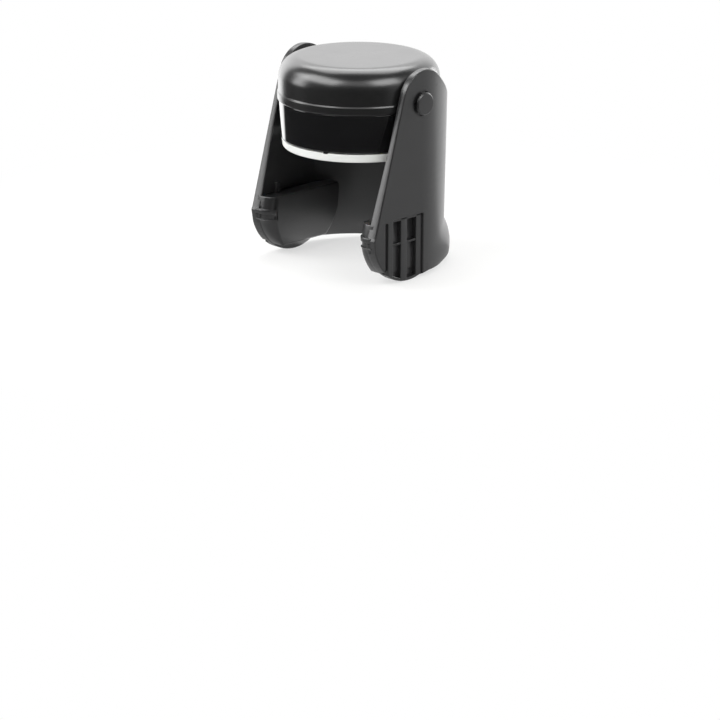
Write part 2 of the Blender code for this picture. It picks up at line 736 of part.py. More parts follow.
pin_holes = make_pin_holes(cutters)
make_lid(parts, satin_black, make_side_flats(cutters) + pin_holes)
make_body(parts, cutters, gloss_black, pin_holes)
make_ring(parts, cutters, milky_white)
seal_disc = make_seal(parts, white_silicone)
seal_plunger = make_plunger(parts, gloss_black)
make_spring(parts, steel)
for pin_side, pin_name in ((1, "hinge_pin_right"), (-1, "hinge_pin_left")):
    make_pin(pin_name, pin_side, parts, yoke_black)
yoke_lever = make_yoke(parts, cutters, yoke_black)
hang_on_axis("yoke_axis", (0, 0, PIN_HEIGHT), [yoke_lever], parts)
hang_on_axis("press_axis", (0, 0, 0), [seal_disc, seal_plunger], parts)

for cutter in cutters.objects:
    cutter.hide_render = True
    cutter.display_type = "WIRE"
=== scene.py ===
from math import acos, asin, atan2, ceil, cos, degrees, hypot, pi, radians, sin, sqrt, tan

import bmesh
import bpy
from mathutils import Matrix, Vector


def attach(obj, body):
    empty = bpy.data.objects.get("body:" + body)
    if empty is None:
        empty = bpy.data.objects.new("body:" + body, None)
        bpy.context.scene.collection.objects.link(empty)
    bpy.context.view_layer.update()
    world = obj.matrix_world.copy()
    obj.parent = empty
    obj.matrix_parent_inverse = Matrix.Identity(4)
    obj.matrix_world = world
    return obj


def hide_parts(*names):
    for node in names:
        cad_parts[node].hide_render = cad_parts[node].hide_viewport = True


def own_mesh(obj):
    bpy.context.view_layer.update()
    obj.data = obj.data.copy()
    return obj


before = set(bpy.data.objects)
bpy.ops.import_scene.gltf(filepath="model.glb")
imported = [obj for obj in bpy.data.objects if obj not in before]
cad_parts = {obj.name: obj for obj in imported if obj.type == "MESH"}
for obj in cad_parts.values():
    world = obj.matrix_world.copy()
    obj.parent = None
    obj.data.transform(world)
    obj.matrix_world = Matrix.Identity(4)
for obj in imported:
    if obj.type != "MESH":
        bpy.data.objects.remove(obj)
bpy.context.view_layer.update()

mm = 0.001

print("scene: camera")

cameraSettings = {
    "sideAngle": 45.0,  # degrees round from the open front
    "distance": 724.88 * mm,
    "height": 171.87 * mm,
    "sideStep": 0.388 * mm,
    "lookDown": 18.144,
    "roll": 0.1123,
    "lens": 150.0,
    "sensor": 36.0,
    "clipNear": 0.01,
    "clipFar": 50.0,
}


def addObject(name, data):
    thing = bpy.data.objects.new(name, data)
    bpy.context.scene.collection.objects.link(thing)
    return thing


def makeCamera(settings):
    data = bpy.data.cameras.new("photoCamera")
    data.lens = settings["lens"]
    data.sensor_width = settings["sensor"]
    data.clip_start = settings["clipNear"]
    data.clip_end = settings["clipFar"]
    camera = addObject("photoCamera", data)
    angle = radians(settings["sideAngle"])
    outward = Vector((sin(angle), -cos(angle), 0))
    sideways = Vector((cos(angle), sin(angle), 0))
    place = outward * settings["distance"] + sideways * settings["sideStep"]
    turn = Matrix.Rotation(angle, 4, "Z")
    turn = turn @ Matrix.Rotation(radians(90 - settings["lookDown"]), 4, "X")
    turn = turn @ Matrix.Rotation(radians(settings["roll"]), 4, "Z")
    camera.matrix_world = Matrix.Translation((place.x, place.y, settings["height"])) @ turn
    bpy.context.scene.camera = camera


makeCamera(cameraSettings)

print("scene: materials")


def hexColour(text):
    # sRGB hex to the linear values that a shader takes
    values = []
    for at in (0, 2, 4):
        part = int(text[at:at + 2], 16) / 255
        values.append(part / 12.92 if part <= 0.04045 else ((part + 0.055) / 1.055) ** 2.4)
    return (*values, 1.0)


def giveInputs(tree, node, inputs):
    # inputs are plain values, or sockets to link from
    for name, value in inputs.items():
        if isinstance(value, bpy.types.NodeSocket):
            tree.links.new(value, node.inputs[name])
        else:
            node.inputs[name].default_value = value


def addNode(tree, kind, settings=None, inputs=None):
    node = tree.nodes.new(kind)
    for name, value in (settings or {}).items():
        setattr(node, name, value)
    giveInputs(tree, node, inputs or {})
    return node


def newMaterial(name):
    material = bpy.data.materials.new(name)
    material.use_nodes = True
    return material, material.node_tree


def perMetre(sizeMm):
    # a noise scale whose features are about this many millimetres across
    return 1000.0 / sizeMm


def mouldedPlastic(name, look):
    # injection-moulded plastic: a fine eroded grain from the tool, a broad unevenness in its sheen
    # and a trace of handling haze; grain finer than a pixel is drawn about ten times coarser
    material, tree = newMaterial(name)
    place = addNode(tree, "ShaderNodeTexCoord").outputs["Object"]
    cloud = addNode(tree, "ShaderNodeTexNoise", None,
                    {"Vector": place, "Scale": perMetre(look["cloudMm"]), "Detail": 3.0, "Roughness": 0.5})
    grain = addNode(tree, "ShaderNodeTexNoise", None,
                    {"Vector": place, "Scale": perMetre(look["grainMm"]), "Detail": 2.0, "Roughness": 0.6})
    tint = addNode(tree, "ShaderNodeMix", {"data_type": "RGBA"},
                   {0: cloud.outputs["Fac"], 6: hexColour(look["colour"]), 7: hexColour(look["haze"])})
    sheen = addNode(tree, "ShaderNodeMapRange", None,
                    {"Value": cloud.outputs["Fac"], "From Min": 0.3, "From Max": 0.7,
                     "To Min": look["roughLow"], "To Max": look["roughHigh"]})
    speckle = addNode(tree, "ShaderNodeMath", {"operation": "MULTIPLY_ADD"},
                      {0: grain.outputs["Fac"], 1: look["grainRough"], 2: sheen.outputs["Result"]})
    bump = addNode(tree, "ShaderNodeBump", None,
                   {"Height": grain.outputs["Fac"], "Strength": look["bump"], "Distance": 0.02 * mm})
    giveInputs(tree, tree.nodes["Principled BSDF"], {
        **look["shader"], "Base Color": tint.outputs[2], "Roughness": speckle.outputs[0],
        "Normal": bump.outputs["Normal"]})
    return material


# Satin black ABS, moulded and lightly polished: soft, wide highlights
satinAbs = mouldedPlastic("satinBlackAbs", {
    "shader": {"IOR": 1.54, "Coat Weight": 1.0, "Coat Roughness": 0.25},
    "colour": "131314", "haze": "191919", "cloudMm": 9.0, "grainMm": 0.35,
    "roughLow": 0.26, "roughHigh": 0.30, "grainRough": 0.03, "bump": 0.08,
})
# Gloss black ABS, moulded in a polished tool: near mirror, sharp reflections
glossAbs = mouldedPlastic("glossBlackAbs", {
    "shader": {"IOR": 1.54, "Coat Weight": 1.0, "Coat Roughness": 0.04},
    "colour": "0a0a0b", "haze": "111112", "cloudMm": 12.0, "grainMm": 0.6,
    "roughLow": 0.06, "roughHigh": 0.09, "grainRough": 0.01, "bump": 0.03,
})
# Black glass-filled polyamide, moulded in an eroded tool: satin with a greyer bloom
satinPolyamide = mouldedPlastic("satinBlackPolyamide", {
    "shader": {"IOR": 1.53, "Coat Weight": 0.7, "Coat Roughness": 0.24},
    "colour": "1a1a1b", "haze": "212122", "cloudMm": 7.0, "grainMm": 0.3,
    "roughLow": 0.33, "roughHigh": 0.38, "grainRough": 0.04, "bump": 0.14,
})
# Natural polyethylene, moulded: milky, faintly see-through, waxy sheen
milkyPolyethylene = mouldedPlastic("milkyPolyethylene", {
    "shader": {"IOR": 1.51, "Subsurface Weight": 0.35, "Subsurface Scale": 0.8 * mm,
               "Subsurface Radius": (1.0, 1.0, 0.9)},
    "colour": "d2d4d1", "haze": "dcdddb", "cloudMm": 6.0, "grainMm": 0.4,
    "roughLow": 0.30, "roughHigh": 0.36, "grainRough": 0.03, "bump": 0.06,
})
# Silicone rubber, moulded: white, dull and slightly powdery
whiteSilicone = mouldedPlastic("whiteSilicone", {
    "shader": {"IOR": 1.43, "Subsurface Weight": 0.2, "Subsurface Scale": 0.6 * mm},
    "colour": "dededb", "haze": "e8e8e6", "cloudMm": 5.0, "grainMm": 0.3,
    "roughLow": 0.48, "roughHigh": 0.58, "grainRough": 0.04, "bump": 0.12,
})


def drawnWire(name, look):
    # stainless spring wire, drawn through a die: bright metal with fine lines and a dull drag film
    material, tree = newMaterial(name)
    place = addNode(tree, "ShaderNodeTexCoord").outputs["Object"]
    squeeze = addNode(tree, "ShaderNodeMapping", None, {"Vector": place, "Scale": (1.0, 1.0, 6.0)})
    lines = addNode(tree, "ShaderNodeTexNoise", None,
                    {"Vector": squeeze.outputs["Vector"], "Scale": perMetre(look["lineMm"]), "Detail": 3.0})
    tint = addNode(tree, "ShaderNodeMix", {"data_type": "RGBA"},
                   {0: lines.outputs["Fac"], 6: hexColour(look["colour"]), 7: hexColour(look["film"])})
    rough = addNode(tree, "ShaderNodeMapRange", None,
                    {"Value": lines.outputs["Fac"], "To Min": look["roughLow"], "To Max": look["roughHigh"]})
    bump = addNode(tree, "ShaderNodeBump", None,
                   {"Height": lines.outputs["Fac"], "Strength": look["bump"], "Distance": 0.01 * mm})
    giveInputs(tree, tree.nodes["Principled BSDF"], {
        "Metallic": 1.0, "Base Color": tint.outputs[2], "Roughness": rough.outputs["Result"],
        "Normal": bump.outputs["Normal"]})
    return material


springWire = drawnWire("drawnSpringSteel", {
    "colour": "c6c8ca", "film": "a9abae", "lineMm": 0.25, "roughLow": 0.18, "roughHigh": 0.34, "bump": 0.15,
})

print("scene: turned parts")


def arcPoints(centre, radius, start, end, steps):
    # points on an arc, from a start to an end in degrees
    points = []
    for step in range(steps + 1):
        angle = radians(start + (end - start) * step / steps)
        points.append((centre[0] + radius * cos(angle), centre[1] + radius * sin(angle)))
    return points


filletSettings = {"pitch": 12.0, "straight": 178.0, "mostOfSide": 0.48}


def filletPath(corners):
    # corners are (a, b) or (a, b, radius); each radius becomes an arc that touches both sides
    s = filletSettings
    points = []
    count = len(corners)
    for i, corner in enumerate(corners):
        here = Vector(corner[:2])
        radius = corner[2] if len(corner) > 2 else 0
        before = Vector(corners[i - 1][:2]) - here
        after = Vector(corners[(i + 1) % count][:2]) - here
        if radius <= 0 or before.length < 1e-9 or after.length < 1e-9:
            points.append(tuple(here))
            continue
        opening = before.angle(after)
        if opening > radians(s["straight"]):
            points.append(tuple(here))
            continue
        reach = radius / tan(opening / 2)
        limit = s["mostOfSide"] * min(before.length, after.length)
        if reach > limit:
            reach = limit
            radius = reach * tan(opening / 2)
        start = here + before.normalized() * reach
        end = here + after.normalized() * reach
        bisector = (before.normalized() + after.normalized()).normalized()
        middle = here + bisector * (radius / sin(opening / 2))
        first = atan2(start.y - middle.y, start.x - middle.x)
        last = atan2(end.y - middle.y, end.x - middle.x)
        sweep = (last - first + pi) % (2 * pi) - pi
        steps = max(2, ceil(abs(degrees(sweep)) / s["pitch"]))
        points += arcPoints(middle, radius, degrees(first), degrees(first + sweep), steps)
    return points


def turnShell(shape, profile, steps, toSpace=None):
    # a closed profile of (radius, height) in millimetres, turned about Z into a closed shell
    rings = []
    for wide, high in profile:
        radius, height = wide * mm, high * mm
        if not wide:
            rings.append([shape.verts.new((0, 0, height))])
            continue
        ring = []
        for step in range(steps):
            angle = 2 * pi * step / steps
            ring.append(shape.verts.new((radius * cos(angle), radius * sin(angle), height)))
        rings.append(ring)
    made = []
    for i, ring in enumerate(rings):
        other = rings[(i + 1) % len(rings)]
        for step in range(steps):
            following = (step + 1) % steps
            if len(ring) == 1 and len(other) == 1:
                break
            if len(ring) == 1:
                corners = [ring[0], other[following], other[step]]
            elif len(other) == 1:
                corners = [ring[step], ring[following], other[0]]
            else:
                corners = [ring[step], ring[following], other[following], other[step]]
            made.append(shape.faces.new(corners))
    bmesh.ops.recalc_face_normals(shape, faces=made)
    if toSpace:
        for ring in rings:
            for vert in ring:
                vert.co = toSpace(vert.co)
    return made


def layAcross(side, height):
    # carries what was turned about Z onto the hinge's axis, at this height
    def toSpace(place):
        return Vector((side * place.z, side * place.y, place.x + height * mm))
    return toSpace


def faceOutwards(shape):
    if shape.calc_volume(signed=True) < 0:
        bmesh.ops.reverse_faces(shape, faces=shape.faces)


def finishPiece(name, shape, sharpAngle, material):
    # smooth all over, but for edges that turn more than the angle in degrees
    mesh = bpy.data.meshes.new(name)
    for face in shape.faces:
        face.smooth = True
        face.material_index = 0
    shape.to_mesh(mesh)
    shape.free()
    mesh.set_sharp_from_angle(angle=radians(sharpAngle))
    mesh.materials.append(material)
    return addObject(name, mesh)


lidSettings = {
    "radius": 20.0, "height": 13.4, "shoulder": 5.4, "shoulderSteps": 26, "insideSteps": 12, "wall": 1.6,
    "topRings": (0.5, 0.9),  # shares of the flat top, so that its faces stay short
    "bandLow": 2.65, "bandTop": 4.45, "bandProud": 0.2, "bandSlope": 0.4,
    "bandFoot": 0.25, "bandEdge": 0.3, "aboveBand": 0.4, "insideBand": 0.7,
    "flat": 19.8, "guideRadius": 4.6, "guideBore": 3.1, "guideLow": 8.4, "guideFoot": 0.3, "guideEdge": 0.2,
    "steps": 256, "sharp": 35,
}


def makeLid(s):
    centre = (s["radius"] - s["shoulder"], s["height"] - s["shoulder"])
    outer = [(0, s["height"])]
    outer += [(centre[0] * share, s["height"]) for share in s["topRings"]]
    outer += arcPoints(centre, s["shoulder"], 90, 0, s["shoulderSteps"])
    band = s["radius"] + s["bandProud"]
    outer += [
        (s["radius"], s["bandTop"] + s["bandSlope"] + s["aboveBand"]),
        (s["radius"], s["bandTop"] + s["bandSlope"], s["bandFoot"]),
        (band, s["bandTop"], s["bandEdge"]),
        (band, s["bandLow"] + s["insideBand"]),
        (band, s["bandLow"], s["bandEdge"]),
        (band - s["wall"], s["bandLow"]),
    ]
    inner = arcPoints(centre, s["shoulder"] - s["wall"], 0, 90, s["insideSteps"])
    ceiling = s["height"] - s["wall"]
    inner += [
        (s["guideRadius"], ceiling, s["guideFoot"]), (s["guideRadius"], s["guideLow"], s["guideEdge"]),
        (s["guideBore"], s["guideLow"], s["guideEdge"]), (s["guideBore"], ceiling), (0, ceiling),
    ]

    def flatten(place):
        # the sides are flat where the arms lie against them
        limit = s["flat"] * mm
        return Vector((max(-limit, min(limit, place.x)), place.y, place.z))

    shape = bmesh.new()
    turnShell(shape, filletPath(outer + inner), s["steps"], flatten)
    lid = finishPiece("domeCover", shape, s["sharp"], satinAbs)
    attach(lid, "cap")
    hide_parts("dome_lid")


makeLid(lidSettings)

bodySettings = {
    "neck": 18.1, "neckTop": 8.0, "top": 19.8, "topHeight": 2.58, "low": 19.3, "depth": 6.9,
    "pocket": 17.5, "bore": 15.3, "seat": 0.3, "shelfOpening": 12.3, "shelfLow": 3.7, "shelfTop": 4.9,
    "edge": 0.25, "insideEdge": 0.2, "pocketEdge": 0.15, "steps": 256, "sharp": 35,
    # the small locating key at the skirt's lower edge
    "keyAngle": -70.0, "keyWidth": 1.2, "keyDrop": 0.5, "keyRise": 0.6, "keySunk": 0.8, "keyOut": 19.24,
    "keyEdge": 0.12,
}


def blockShell(shape, low, high, edge, turn):
    # a block with rounded edges, turned about Z
    made = bmesh.ops.create_cube(shape, size=1)["verts"]
    for vert in made:
        for axis in range(3):
            vert.co[axis] = low[axis] if vert.co[axis] < 0 else high[axis]
    edges = list({e for vert in made for e in vert.link_edges})
    bevelled = bmesh.ops.bevel(shape, geom=edges, offset=edge, segments=3, profile=0.5, affect="EDGES")
    verts = {v for face in bevelled["faces"] for v in face.verts}
    spin = Matrix.Rotation(radians(turn), 4, "Z")
    for vert in verts:
        vert.co = spin @ vert.co


def makeBody(s):
    edge, inside = s["edge"], s["insideEdge"]
    corners = [
        (s["neck"], s["neckTop"], edge), (s["neck"], s["topHeight"]), (s["top"], s["topHeight"], edge),
        (s["low"], -s["depth"], edge), (s["pocket"], -s["depth"], s["pocketEdge"]), (s["pocket"], s["seat"]),
        (s["bore"], s["seat"], inside), (s["bore"], s["shelfLow"]),
        (s["shelfOpening"], s["shelfLow"], inside), (s["shelfOpening"], s["shelfTop"], inside),
        (s["bore"], s["shelfTop"]), (s["bore"], s["neckTop"], inside),
    ]
    shape = bmesh.new()
    turnShell(shape, filletPath(corners), s["steps"])
    half = s["keyWidth"] / 2 * mm
    low = ((s["low"] - s["keySunk"]) * mm, -half, (-s["depth"] - s["keyDrop"]) * mm)
    high = (s["keyOut"] * mm, half, (-s["depth"] + s["keyRise"]) * mm)
    blockShell(shape, low, high, s["keyEdge"] * mm, s["keyAngle"])
    body = finishPiece("capSkirt", shape, s["sharp"], glossAbs)
    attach(body, "cap")
    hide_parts("cap_body")


makeBody(bodySettings)

ringSettings = {
    "bore": 15.2, "upstand": 17.2, "flangeTop": 7.2, "flangeLow": 9.3,
    "outTop": 19.2, "outLow": 18.9, "round": 0.6, "leadIn": 0.7, "leadRound": 0.3, "footRound": 0.15,
    "upstandEdge": 0.2, "flangeEdge": 0.1, "steps": 256, "sharp": 40,
}


def makeRing(s):
    corners = [
        (s["upstand"], 0, s["upstandEdge"]), (s["upstand"], -s["flangeTop"], s["flangeEdge"]),
        (s["outTop"], -s["flangeTop"], s["flangeEdge"]), (s["outLow"], -s["flangeLow"], s["round"]),
        (s["bore"] + s["leadIn"], -s["flangeLow"], s["footRound"]),
        (s["bore"], s["leadIn"] - s["flangeLow"], s["leadRound"]), (s["bore"], 0, s["upstandEdge"]),
    ]
    shape = bmesh.new()
    turnShell(shape, filletPath(corners), s["steps"])
    ring = finishPiece("whiteRing", shape, s["sharp"], milkyPolyethylene)
    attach(ring, "cap")
    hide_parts("guide_ring")


makeRing(ringSettings)

pinSettings = {
    "height": 4.8, "radius": 1.7, "headRadius": 2.9, "headLow": 22.2, "headHigh": 23.0, "headEdge": 0.12,
    "faceRadius": 2.5, "faceEdge": 0.08, "tip": 16.1, "tipEdge": 0.25, "steps": 64, "sharp": 40,
}


def makePin(name, node, side, s):
    corners = [
        (0, s["headHigh"]), (s["faceRadius"], s["headHigh"], s["faceEdge"]),
        (s["headRadius"], (s["headHigh"] + s["headLow"]) / 2, s["headEdge"]),
        (s["faceRadius"], s["headLow"], s["faceEdge"]), (s["radius"], s["headLow"]),
        (s["radius"], s["tip"], s["tipEdge"]), (0, s["tip"]),
    ]
    shape = bmesh.new()
    turnShell(shape, filletPath(corners), s["steps"], layAcross(side, s["height"]))
    faceOutwards(shape)
    pin = finishPiece(name, shape, s["sharp"], satinPolyamide)
    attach(pin, "cap")
    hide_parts(node)


makePin("pinRight", "hinge_pin_right", 1, pinSettings)
makePin("pinLeft", "hinge_pin_left", -1, pinSettings)

print("scene: yoke lever")

# Shared by the flat plates: inset is how far inside the edge the first ring lies, snap is how near to a
# cut a corner counts as on it, and leastSide is the shortest side of an outline
plateSettings = {
    "inset": 0.12, "leastStretch": 0.35, "lowSteps": 3, "highSteps": 5, "snap": 0.002, "leastSide": 0.03,
    "sunkRound": 0.1,
}


def insetLoop(points, distance):
    # moves a closed counter-clockwise outline inwards by a distance, with mitred corners
    moved = []
    count = len(points)
    for i in range(count):
        here = Vector(points[i])
        before = (here - Vector(points[i - 1])).normalized()
        after = (Vector(points[(i + 1) % count]) - here).normalized()
        leftBefore = Vector((-before.y, before.x))
        leftAfter = Vector((-after.y, after.x))
        middle = leftBefore + leftAfter
        if middle.length < 1e-6:
            middle = leftAfter
        middle.normalize()
        stretch = max(plateSettings["leastStretch"], middle.dot(leftAfter))
        moved.append(tuple(here + middle * (distance / stretch)))
    return moved


def cleanLoop(points, least=plateSettings["leastSide"]):
    # leaves out points that are too close, and turns the outline counter-clockwise
    kept = []
    for point in points:
        if not kept or (Vector(point) - Vector(kept[-1])).length > least:
            kept.append(point)
    if (Vector(kept[0]) - Vector(kept[-1])).length <= least:
        kept.pop()
    area = sum(a[0] * b[1] - b[0] * a[1] for a, b in zip(kept, kept[1:] + kept[:1]))
    return kept if area > 0 else kept[::-1]


def roundedPlate(shape, outline, thickness, roundLow, roundHigh, toSpace, cuts=((), ()), levels=()):
    # a flat plate in (a, b) with a thickness in c, its low and high edges rounded,
    # cut at the given a and b so that it can bend, then carried to its place by toSpace(a, b, c)
    s = plateSettings
    flat = bmesh.new()
    rings = [(roundLow + s["inset"], 0.0)]
    for step in range(s["lowSteps"] + 1):
        angle = radians(90 * step / s["lowSteps"])
        rings.append((roundLow * (1 - sin(angle)), roundLow * (1 - cos(angle))))
    rings += [(0.0, level) for level in levels if roundLow < level < thickness - roundHigh]
    for step in range(s["highSteps"] + 1):
        angle = radians(90 * step / s["highSteps"])
        rings.append((roundHigh * (1 - cos(angle)), thickness - roundHigh * (1 - sin(angle))))
    rings.append((roundHigh + s["inset"], thickness))
    loops = []
    for inset, level in rings:
        places = insetLoop(outline, inset) if inset else outline
        loops.append([flat.verts.new((a, b, level)) for a, b in places])
    for lower, upper in zip(loops, loops[1:]):
        for i in range(len(lower)):
            after = (i + 1) % len(lower)
            flat.faces.new([lower[i], lower[after], upper[after], upper[i]])
    low = flat.faces.new(loops[0][::-1])
    high = flat.faces.new(loops[-1])
    low.normal_update()
    high.normal_update()
    bmesh.ops.triangulate(flat, faces=[low, high])
    for normal, places in zip((Vector((1, 0, 0)), Vector((0, 1, 0))), cuts):
        for place in places:
            geometry = flat.verts[:] + flat.edges[:] + flat.faces[:]
            bmesh.ops.bisect_plane(flat, geom=geometry, dist=s["snap"],
                                   plane_co=normal * place, plane_no=normal)
    for vert in flat.verts:
        vert.co = toSpace(*vert.co)
    bmesh.ops.recalc_face_normals(flat, faces=flat.faces)
    faceOutwards(flat)
    held = bpy.data.meshes.new("held")
    flat.to_mesh(held)
    flat.free()
    shape.from_mesh(held)
    bpy.data.meshes.remove(held)


yokeSettings = {
    # the arms, and the half-round wall between them, which draws in downwards by its draft
    "armIn": 20.1, "armOut": 21.9, "wallIn": 20.5, "reachIn": 20.896, "reachOut": 22.096,
    "blankTop": 15.0, "draft": 1.8, "blankHeight": 56.1, "bend": 21.0, "outerRound": 0.26, "innerRound": 0.2,
    # the outline of one arm and half the wall, laid flat
    "armEnd": (1.1, 5.3), "armEndRadius": 7.7, "armEndSteps": 40, "topSlope": 38.7,
    "wallSteps": 24, "firstHeight": -4.0, "heightTries": 4,
    "front": -16.5, "stepTop": (-16.1, -26.2), "cornerDepth": -27.0, "cornerRound": 0.6,
    "padCentre": (-4.0, -26.6), "padRadius": 12.5, "foot": -37.9, "arcStart": -15.95, "footStart": 2.8,
    # the notch behind the pad's front and the sunk field of the grip
    "grooveFront": -12.75, "grooveBack": -11.75, "grooveTop": -23.2,
    "fieldFront": -9.9, "fieldBack": 0.55, "fieldTop": -22.7, "notchRound": 0.3,
    # where the flat plate is cut so that it can bend: (first, pitch, count) for the even ones
    "wallCuts": 56, "plainCuts": (8.9, 2.0, 17), "lipCuts": (-25.5, 0.6, 18),
    "footCuts": (-36.1, -36.4, -36.6, -36.8, -37.0, -37.2),
    # the thumb lip, part of a ball that grows out of the wall's outer half
    "lipRadius": 21.0, "lipHalf": 16.0, "lipShift": 2.7, "lipCrest": -34.6, "lipLeast": 0.02,
    "lipFootRound": 1.3, "lipBlend": 0.7, "noLip": -5.0, "swellFrom": 0.25, "swellOver": 0.4,
    # the wall's top is square to the arms, less and less so down to squareFrom
    "squareFrom": -22.0, "squareOver": 12.0,
    # each arm's inner side thickens downwards along its front
    "flange": 1.0, "flangeFrom": -5.0, "flangeFull": -24.0, "flangeDepth": 9.0,
    # the pin's hole and the recess round its head
    "pinHeight": 4.8, "pinHole": 1.8, "recessRadius": 3.15, "recessFloor": 21.3,
    "drillFrom": 19.0, "drillTo": 25.0, "drillSteps": 64, "sharp": 50,
}


def within(value):
    return max(0.0, min(1.0, value))


def reachAt(top, height, s):
    return top - s["draft"] * (s["blankTop"] - height) / s["blankHeight"]


def middleReach(height, s):
    return (reachAt(s["reachIn"], height, s) + reachAt(s["reachOut"], height, s)) / 2


def alongYoke(depth, height, s):
    # how far along the bent plate a point at this depth lies: straight arm first, then the round wall
    if depth <= 0:
        return depth
    return s["bend"] * asin(max(-1.0, min(1.0, depth / middleReach(height, s))))


def padArc(s, start, end, radius=None):
    # along the pad's round foot from depth start to depth end, a point every 5 degrees or closer
    centre = s["padCentre"]
    radius = radius or s["padRadius"]
    first = -degrees(acos((start - centre[0]) / radius))
    last = -degrees(acos((end - centre[0]) / radius))
    return arcPoints(centre, radius, first, last, max(2, ceil(abs(last - first) / 5)))


def frontTouch(s):
    # the angle on the arm's round end where the straight front edge touches it
    centre, point = s["armEnd"], s["stepTop"]
    across, up = point[0] - centre[0], point[1] - centre[1]
    opening = acos(s["armEndRadius"] / hypot(across, up))
    return degrees(atan2(up, across) - opening) % 360


def halfOutline(s):
    # one arm and half the wall, laid flat, from the wall's top edge round the arm to its foot
    leave = 90 - s["topSlope"]
    end = arcPoints(s["armEnd"], s["armEndRadius"], leave, frontTouch(s), s["armEndSteps"])
    fall = tan(radians(s["topSlope"]))
    points = []
    for step in range(s["wallSteps"]):
        angle = pi / 2 * (1 - step / s["wallSteps"])
        # the wall's reach and the height of its top edge hang together, so they are found in a few tries
        height = s["firstHeight"]
        for attempt in range(s["heightTries"]):
            depth = middleReach(height, s) * sin(angle)
            height = end[0][1] - fall * (depth - end[0][0])
        if depth <= end[0][0]:
            break
        points.append((s["bend"] * angle, height))
    points += [(alongYoke(y, z, s), z) for y, z in end]
    points += [(*s["stepTop"], s["cornerRound"]), (s["front"], s["cornerDepth"], s["cornerRound"])]
    points += padArc(s, s["arcStart"], s["grooveFront"])[:-1]
    for opening in ("groove", "field"):
        front, back, top = (s[opening + side] for side in ("Front", "Back", "Top"))
        arc = padArc(s, front, back)
        points += [arc[0], (front, top, s["notchRound"]), (back, top, s["notchRound"]), arc[-1]]
        if opening == "groove":
            points += padArc(s, back, s["fieldFront"])[1:-1]
    start = alongYoke(s["footStart"], s["foot"], s)
    for step in range(s["wallSteps"] + 1):
        points.append((start + (s["bend"] * pi / 2 - start) * step / s["wallSteps"], s["foot"]))
    return points


def lipRadiusAt(height, s):
    # the lip's ball, rounded under at the wall's foot
    lean = -s["foot"] - s["lipFootRound"]

    def ball(at):
        return s["lipRadius"] * sqrt(max(s["lipLeast"], 1 - ((at + s["lipCrest"]) / s["lipHalf"]) ** 2))

    at = -height
    if at <= lean:
        return ball(at)
    fall = min(at - lean, s["lipFootRound"])
    return ball(lean) - s["lipFootRound"] + sqrt(max(0.0, s["lipFootRound"] ** 2 - fall ** 2))


def bendYoke(s):
    quarter = s["bend"] * pi / 2
    thickness = s["armOut"] - s["armIn"]
    topFall = tan(radians(s["topSlope"]))

    def toSpace(along, height, level):
        share = level / thickness
        side = 1 if along <= quarter else -1
        run = along if side > 0 else 2 * quarter - along
        if run <= 0:
            fall = within((height - s["flangeFrom"]) / (s["flangeFull"] - s["flangeFrom"]))
            thicker = s["flange"] * fall * min(1.0, -run / s["flangeDepth"])
            return Vector((side * (s["armIn"] + level - thicker * (1 - share)) * mm, run * mm, height * mm))
        angle = run / s["bend"]
        innerReach, outerReach = reachAt(s["reachIn"], height, s), reachAt(s["reachOut"], height, s)
        inner = Vector((min(s["armIn"], s["wallIn"] * cos(angle)), innerReach * sin(angle)))
        outer = Vector((s["armOut"] * cos(angle), outerReach * sin(angle)))
        place = inner.lerp(outer, share)
        out = Vector((cos(angle) / s["armOut"], sin(angle) / outerReach)).normalized()
        away = outer - Vector((0, s["lipShift"]))
        inside = away.dot(out) ** 2 - away.length_squared + lipRadiusAt(height, s) ** 2
        grow = -away.dot(out) + sqrt(inside) if inside > 0 else s["noLip"]
        blend = within(0.5 + 0.5 * grow / s["lipBlend"])
        swell = grow * blend + s["lipBlend"] * blend * (1 - blend)
        swell *= within((share - s["swellFrom"]) / s["swellOver"])
        place += out * max(0.0, swell)
        middle = inner.lerp(outer, 0.5)
        weight = within((height - s["squareFrom"]) / s["squareOver"])
        lower = topFall * (place.y - middle.y) * weight
        return Vector((side * place.x * mm, place.y * mm, (height - lower) * mm))

    return toSpace


roomSettings = {"across": 21.9, "reach": 20.8, "margin": 0.45}


def withinWall(x, y):
    # keeps the blocks inside the round wall where they run into it
    if y <= 0:
        return x
    s = roomSettings
    return min(x, s["across"] * sqrt(max(0.0, 1 - (y / s["reach"]) ** 2)) - s["margin"])


def sideways(base, side):
    def toSpace(y, z, level):
        return Vector((side * withinWall(base + level, y) * mm, y * mm, z * mm))
    return toSpace


hookSettings = {
    "inner": 15.5, "outer": 20.4, "front": -16.5, "cornerRadius": 2.8, "round": 0.35,
    "ledge": -23.3, "ledgeFront": -15.4, "ledgeRound": 0.3, "rearRound": 0.5,
    # down the front, as (depth, height): the slanted upper face, a proud band, a sunk one, a proud foot
    "frontSteps": ((-15.85, -26.35), (-16.42, -26.41), (-16.5, -26.51), (-16.5, -27.53), (-16.4, -27.65),
                   (-15.9, -27.71), (-15.9, -28.9), (-16.28, -28.96), (-16.4, -29.1)),
    "arcFront": -16.28, "arcTop": -29.2, "radius": 12.4, "foot": -36.4, "footRound": 0.6, "arcGap": 0.01,
    "levelAngles": (15, 91, 8),
}


